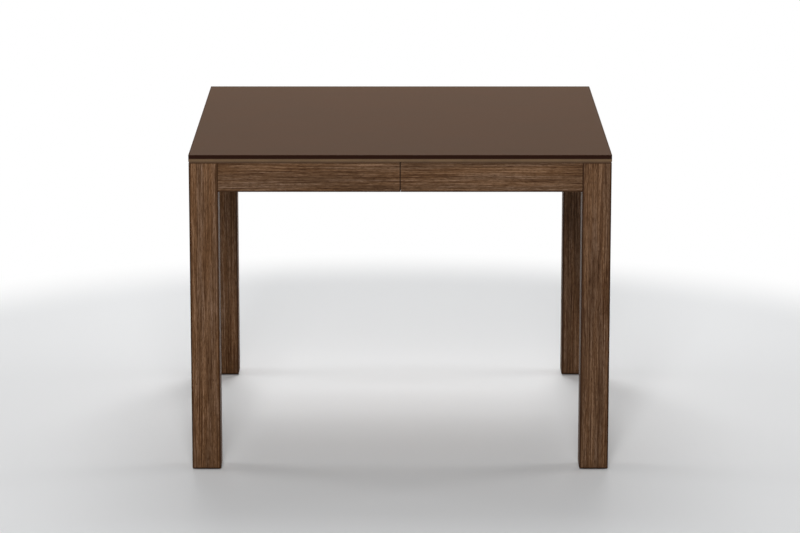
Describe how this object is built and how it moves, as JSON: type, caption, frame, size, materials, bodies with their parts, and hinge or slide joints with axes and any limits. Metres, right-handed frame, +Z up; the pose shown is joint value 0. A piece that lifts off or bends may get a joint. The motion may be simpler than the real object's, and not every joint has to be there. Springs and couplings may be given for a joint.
{
  "type": "extending parsons dining table",
  "caption": "Square brown glass-topped parsons dining table whose wooden frame opens at a centre seam on telescopic runners, with a stored leaf under the top.",
  "frame": {"origin": "on the floor, under the middle of the closed table", "axes": "+Z up, +X the way the right half draws out, -Y the pictured front"},
  "size_m": [0.99, 0.99, 0.762],
  "materials": {
    "brown_glass": "satin back-painted glass",
    "brown_lacquer": "satin lacquered board",
    "walnut": "stained open-grain veneer",
    "beech": "plain planed hardwood",
    "aluminium": "mill-finish extrusion",
    "nylon": "moulded",
    "felt": "pressed felt",
    "shim_plate": "plain",
    "brass": "turned",
    "blued_steel": "turned and blued",
    "lever_steel": "black coated",
    "zinc_steel": "zinc plated"
  },
  "bodies": {
    "fixed_half": {"glass_top": "brown_glass", "sub_top": "brown_lacquer", "leg_front_left": "walnut", "leg_back_left": "walnut", "apron_front_left": "walnut", "apron_back_left": "walnut", "apron_end_left": "walnut", "cross_rail_left_inner": "beech", "cross_rail_left_outer": "beech", "corner_brackets_left": "zinc_steel", "hanger_bolts_left": "zinc_steel", "bolt_washers_left": "zinc_steel", "bolt_nuts_left": "zinc_steel", "bracket_screws_left": "zinc_steel", "foot_glides_left": "nylon", "rest_strips_left": "brown_lacquer", "seam_strips": "walnut", "runner_channel_front": "aluminium", "runner_channel_back": "aluminium", "runner_shims_left": "shim_plate", "runner_screws_left": "zinc_steel", "runner_shoes_fixed": "nylon", "top_bearer_front": "beech", "top_bearer_back": "beech", "bearer_screws": "zinc_steel", "alignment_pins": "blued_steel", "lock_plates": "zinc_steel", "lock_plate_screws": "zinc_steel", "lock_pivots": "zinc_steel"},
    "moving_half": {"leg_front_right": "walnut", "leg_back_right": "walnut", "apron_front_right": "walnut", "apron_back_right": "walnut", "apron_end_right": "walnut", "cross_rail_right_inner": "beech", "cross_rail_right_outer": "beech", "corner_brackets_right": "zinc_steel", "hanger_bolts_right": "zinc_steel", "bolt_washers_right": "zinc_steel", "bolt_nuts_right": "zinc_steel", "bracket_screws_right": "zinc_steel", "foot_glides_right": "nylon", "glide_strips_right": "brown_lacquer", "runner_slide_front": "aluminium", "runner_slide_back": "aluminium", "runner_shims_right": "shim_plate", "runner_screws_right": "zinc_steel", "runner_shoes_moving": "nylon", "alignment_bushes": "brass", "leaf_board_lower": "brown_lacquer", "leaf_glass_lower": "brown_glass", "leaf_board_upper": "brown_lacquer", "leaf_glass_upper": "brown_glass", "leaf_felts": "felt", "lock_studs": "zinc_steel"},
    "runner_middles": {"runner_middle_front": "aluminium", "runner_middle_back": "aluminium", "runner_shoes_middle": "nylon"},
    "lock_front": {"lock_lever_front": "lever_steel"},
    "lock_back": {"lock_lever_back": "lever_steel"}
  },
  "joints": [
    {"name": "frame_extend", "type": "slide", "parent": "fixed_half", "child": "moving_half", "axis": [1, 0, 0], "range_m": [0, 0.44]},
    {"name": "middle_extend", "type": "slide", "parent": "fixed_half", "child": "runner_middles", "axis": [1, 0, 0], "range_m": [0, 0.22]},
    {"name": "lock_front_turn", "type": "hinge", "parent": "fixed_half", "child": "lock_front", "pos_m": [-0.045, -0.45, 0.6796], "axis": [0, 0, -1], "range_deg": [0, 90]},
    {"name": "lock_back_turn", "type": "hinge", "parent": "fixed_half", "child": "lock_back", "pos_m": [-0.045, 0.45, 0.6796], "axis": [0, 0, 1], "range_deg": [0, 90]}
  ],
  "couplings": [
    {"joint": "middle_extend", "follows": "frame_extend", "ratio": 0.5}
  ]
}
